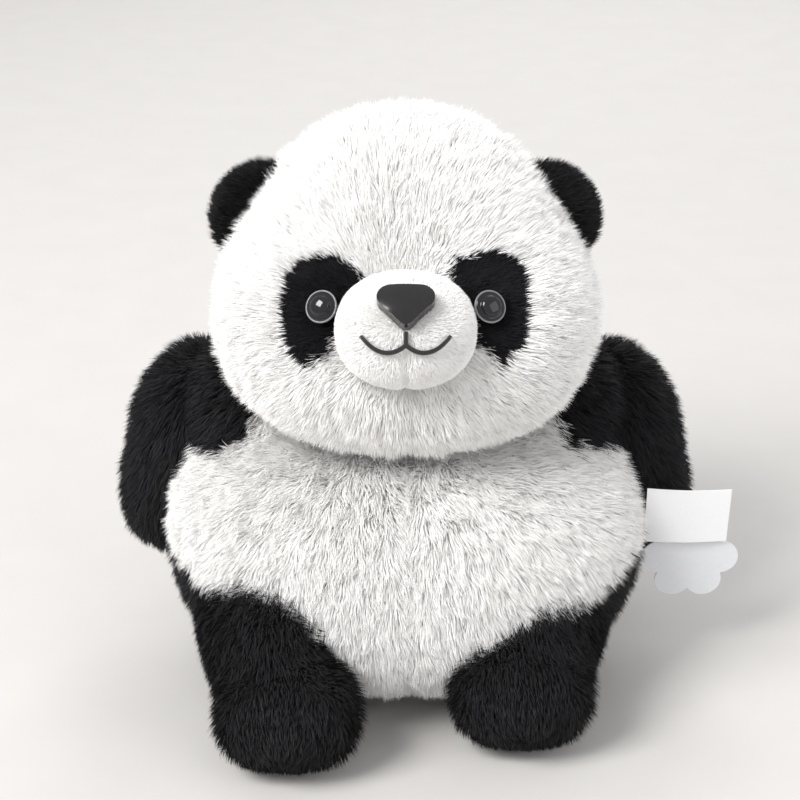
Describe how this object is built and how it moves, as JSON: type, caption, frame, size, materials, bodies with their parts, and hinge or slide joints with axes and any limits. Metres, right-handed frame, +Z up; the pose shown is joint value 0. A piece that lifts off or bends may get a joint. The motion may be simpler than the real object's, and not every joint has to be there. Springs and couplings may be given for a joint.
{
  "type": "plush panda",
  "caption": "Sitting soft-toy panda with white and black plush panels, plastic eyes and nose, stuffed head, limbs and ears, and a side label with a hang tag.",
  "frame": {"origin": "middle of the flat seat panel that the toy sits on", "axes": "+Z up, face looking along -Y, the toy's own left along +X"},
  "size_m": [0.2568, 0.193, 0.236],
  "materials": {
    "white_plush": "matte",
    "short_white_plush": "matte",
    "black_plush": "matte",
    "short_black_plush": "matte",
    "polyester_filling": "matte",
    "eye_plastic": "gloss",
    "eye_rim": "gloss",
    "nose_plastic": "gloss",
    "washer_plastic": "matte",
    "mouth_thread": "satin",
    "satin_label": "satin",
    "tag_card": "satin",
    "nylon": "gloss"
  },
  "bodies": {
    "body": {"belly_left": "white_plush", "back_left": "white_plush", "belly_right": "white_plush", "back_right": "white_plush", "shoulder_yoke": "black_plush", "seat_panel": "white_plush", "body_stuffing": "polyester_filling", "tail_cover": "black_plush", "tail_stuffing": "polyester_filling", "tag_fastener": "nylon"},
    "neck": {"neck_gusset": "white_plush"},
    "head": {"face_left": "white_plush", "head_back_left": "white_plush", "muzzle_left": "short_white_plush", "eye_patch_left": "short_black_plush", "eye_left": "eye_plastic", "eye_ring_left": "eye_rim", "eye_washer_left": "washer_plastic", "face_right": "white_plush", "head_back_right": "white_plush", "muzzle_right": "short_white_plush", "eye_patch_right": "short_black_plush", "eye_right": "eye_plastic", "eye_ring_right": "eye_rim", "eye_washer_right": "washer_plastic", "head_stuffing": "polyester_filling", "muzzle_stuffing": "polyester_filling", "nose": "nose_plastic", "nose_washer": "washer_plastic", "mouth_stitching": "mouth_thread"},
    "ear_left": {"ear_front_left": "black_plush", "ear_back_left": "black_plush", "ear_stuffing_left": "polyester_filling"},
    "ear_right": {"ear_front_right": "black_plush", "ear_back_right": "black_plush", "ear_stuffing_right": "polyester_filling"},
    "arm_left": {"arm_front_left": "black_plush", "arm_back_left": "black_plush", "arm_stuffing_left": "polyester_filling"},
    "arm_right": {"arm_front_right": "black_plush", "arm_back_right": "black_plush", "arm_stuffing_right": "polyester_filling"},
    "leg_left": {"leg_outer_left": "black_plush", "leg_inner_left": "black_plush", "sole_left": "black_plush", "leg_stuffing_left": "polyester_filling"},
    "leg_right": {"leg_outer_right": "black_plush", "leg_inner_right": "black_plush", "sole_right": "black_plush", "leg_stuffing_right": "polyester_filling"},
    "label": {"care_label": "satin_label"},
    "tag": {"hang_tag": "tag_card"}
  },
  "joints": [
    {"name": "neck_turn", "type": "hinge", "parent": "body", "child": "neck", "pos_m": [0, -0.014, 0.157], "axis": [0, 0, 1], "range_deg": [-25, 25], "stiffness_Nm_per_rad": 0.05},
    {"name": "head_nod", "type": "hinge", "parent": "neck", "child": "head", "pos_m": [0, -0.014, 0.157], "axis": [1, 0, 0], "range_deg": [-8, 8], "stiffness_Nm_per_rad": 1},
    {"name": "ear_left_fold", "type": "hinge", "parent": "head", "child": "ear_left", "pos_m": [0.0615, 0.005, 0.197], "axis": [0.5, 0, -0.866], "range_deg": [-20, 20], "stiffness_Nm_per_rad": 0.02},
    {"name": "arm_left_lift", "type": "hinge", "parent": "body", "child": "arm_left", "pos_m": [0.08, 0.014, 0.098], "axis": [0, -1, 0], "range_deg": [0, 50], "stiffness_Nm_per_rad": 0.05},
    {"name": "leg_left_spread", "type": "hinge", "parent": "body", "child": "leg_left", "pos_m": [0.064, -0.008, 0.0385], "axis": [0, 0, 1], "range_deg": [-1, 5], "stiffness_Nm_per_rad": 0.05},
    {"name": "ear_right_fold", "type": "hinge", "parent": "head", "child": "ear_right", "pos_m": [-0.0615, 0.005, 0.197], "axis": [0.5, 0, 0.866], "range_deg": [-20, 20], "stiffness_Nm_per_rad": 0.02},
    {"name": "arm_right_lift", "type": "hinge", "parent": "body", "child": "arm_right", "pos_m": [-0.08, 0.014, 0.098], "axis": [0, 1, 0], "range_deg": [0, 50], "stiffness_Nm_per_rad": 0.05},
    {"name": "leg_right_spread", "type": "hinge", "parent": "body", "child": "leg_right", "pos_m": [-0.064, -0.008, 0.0385], "axis": [0, 0, -1], "range_deg": [-1, 5], "stiffness_Nm_per_rad": 0.05},
    {"name": "label_flap", "type": "hinge", "parent": "body", "child": "label", "pos_m": [0.098, -0.02, 0.0705], "axis": [0, 0, -1], "range_deg": [0, 60], "stiffness_Nm_per_rad": 0.001},
    {"name": "tag_swing", "type": "hinge", "parent": "body", "child": "tag", "pos_m": [0.111, -0.0174, 0.0574], "axis": [0, -1, 0], "range_deg": [-8, 30]}
  ]
}
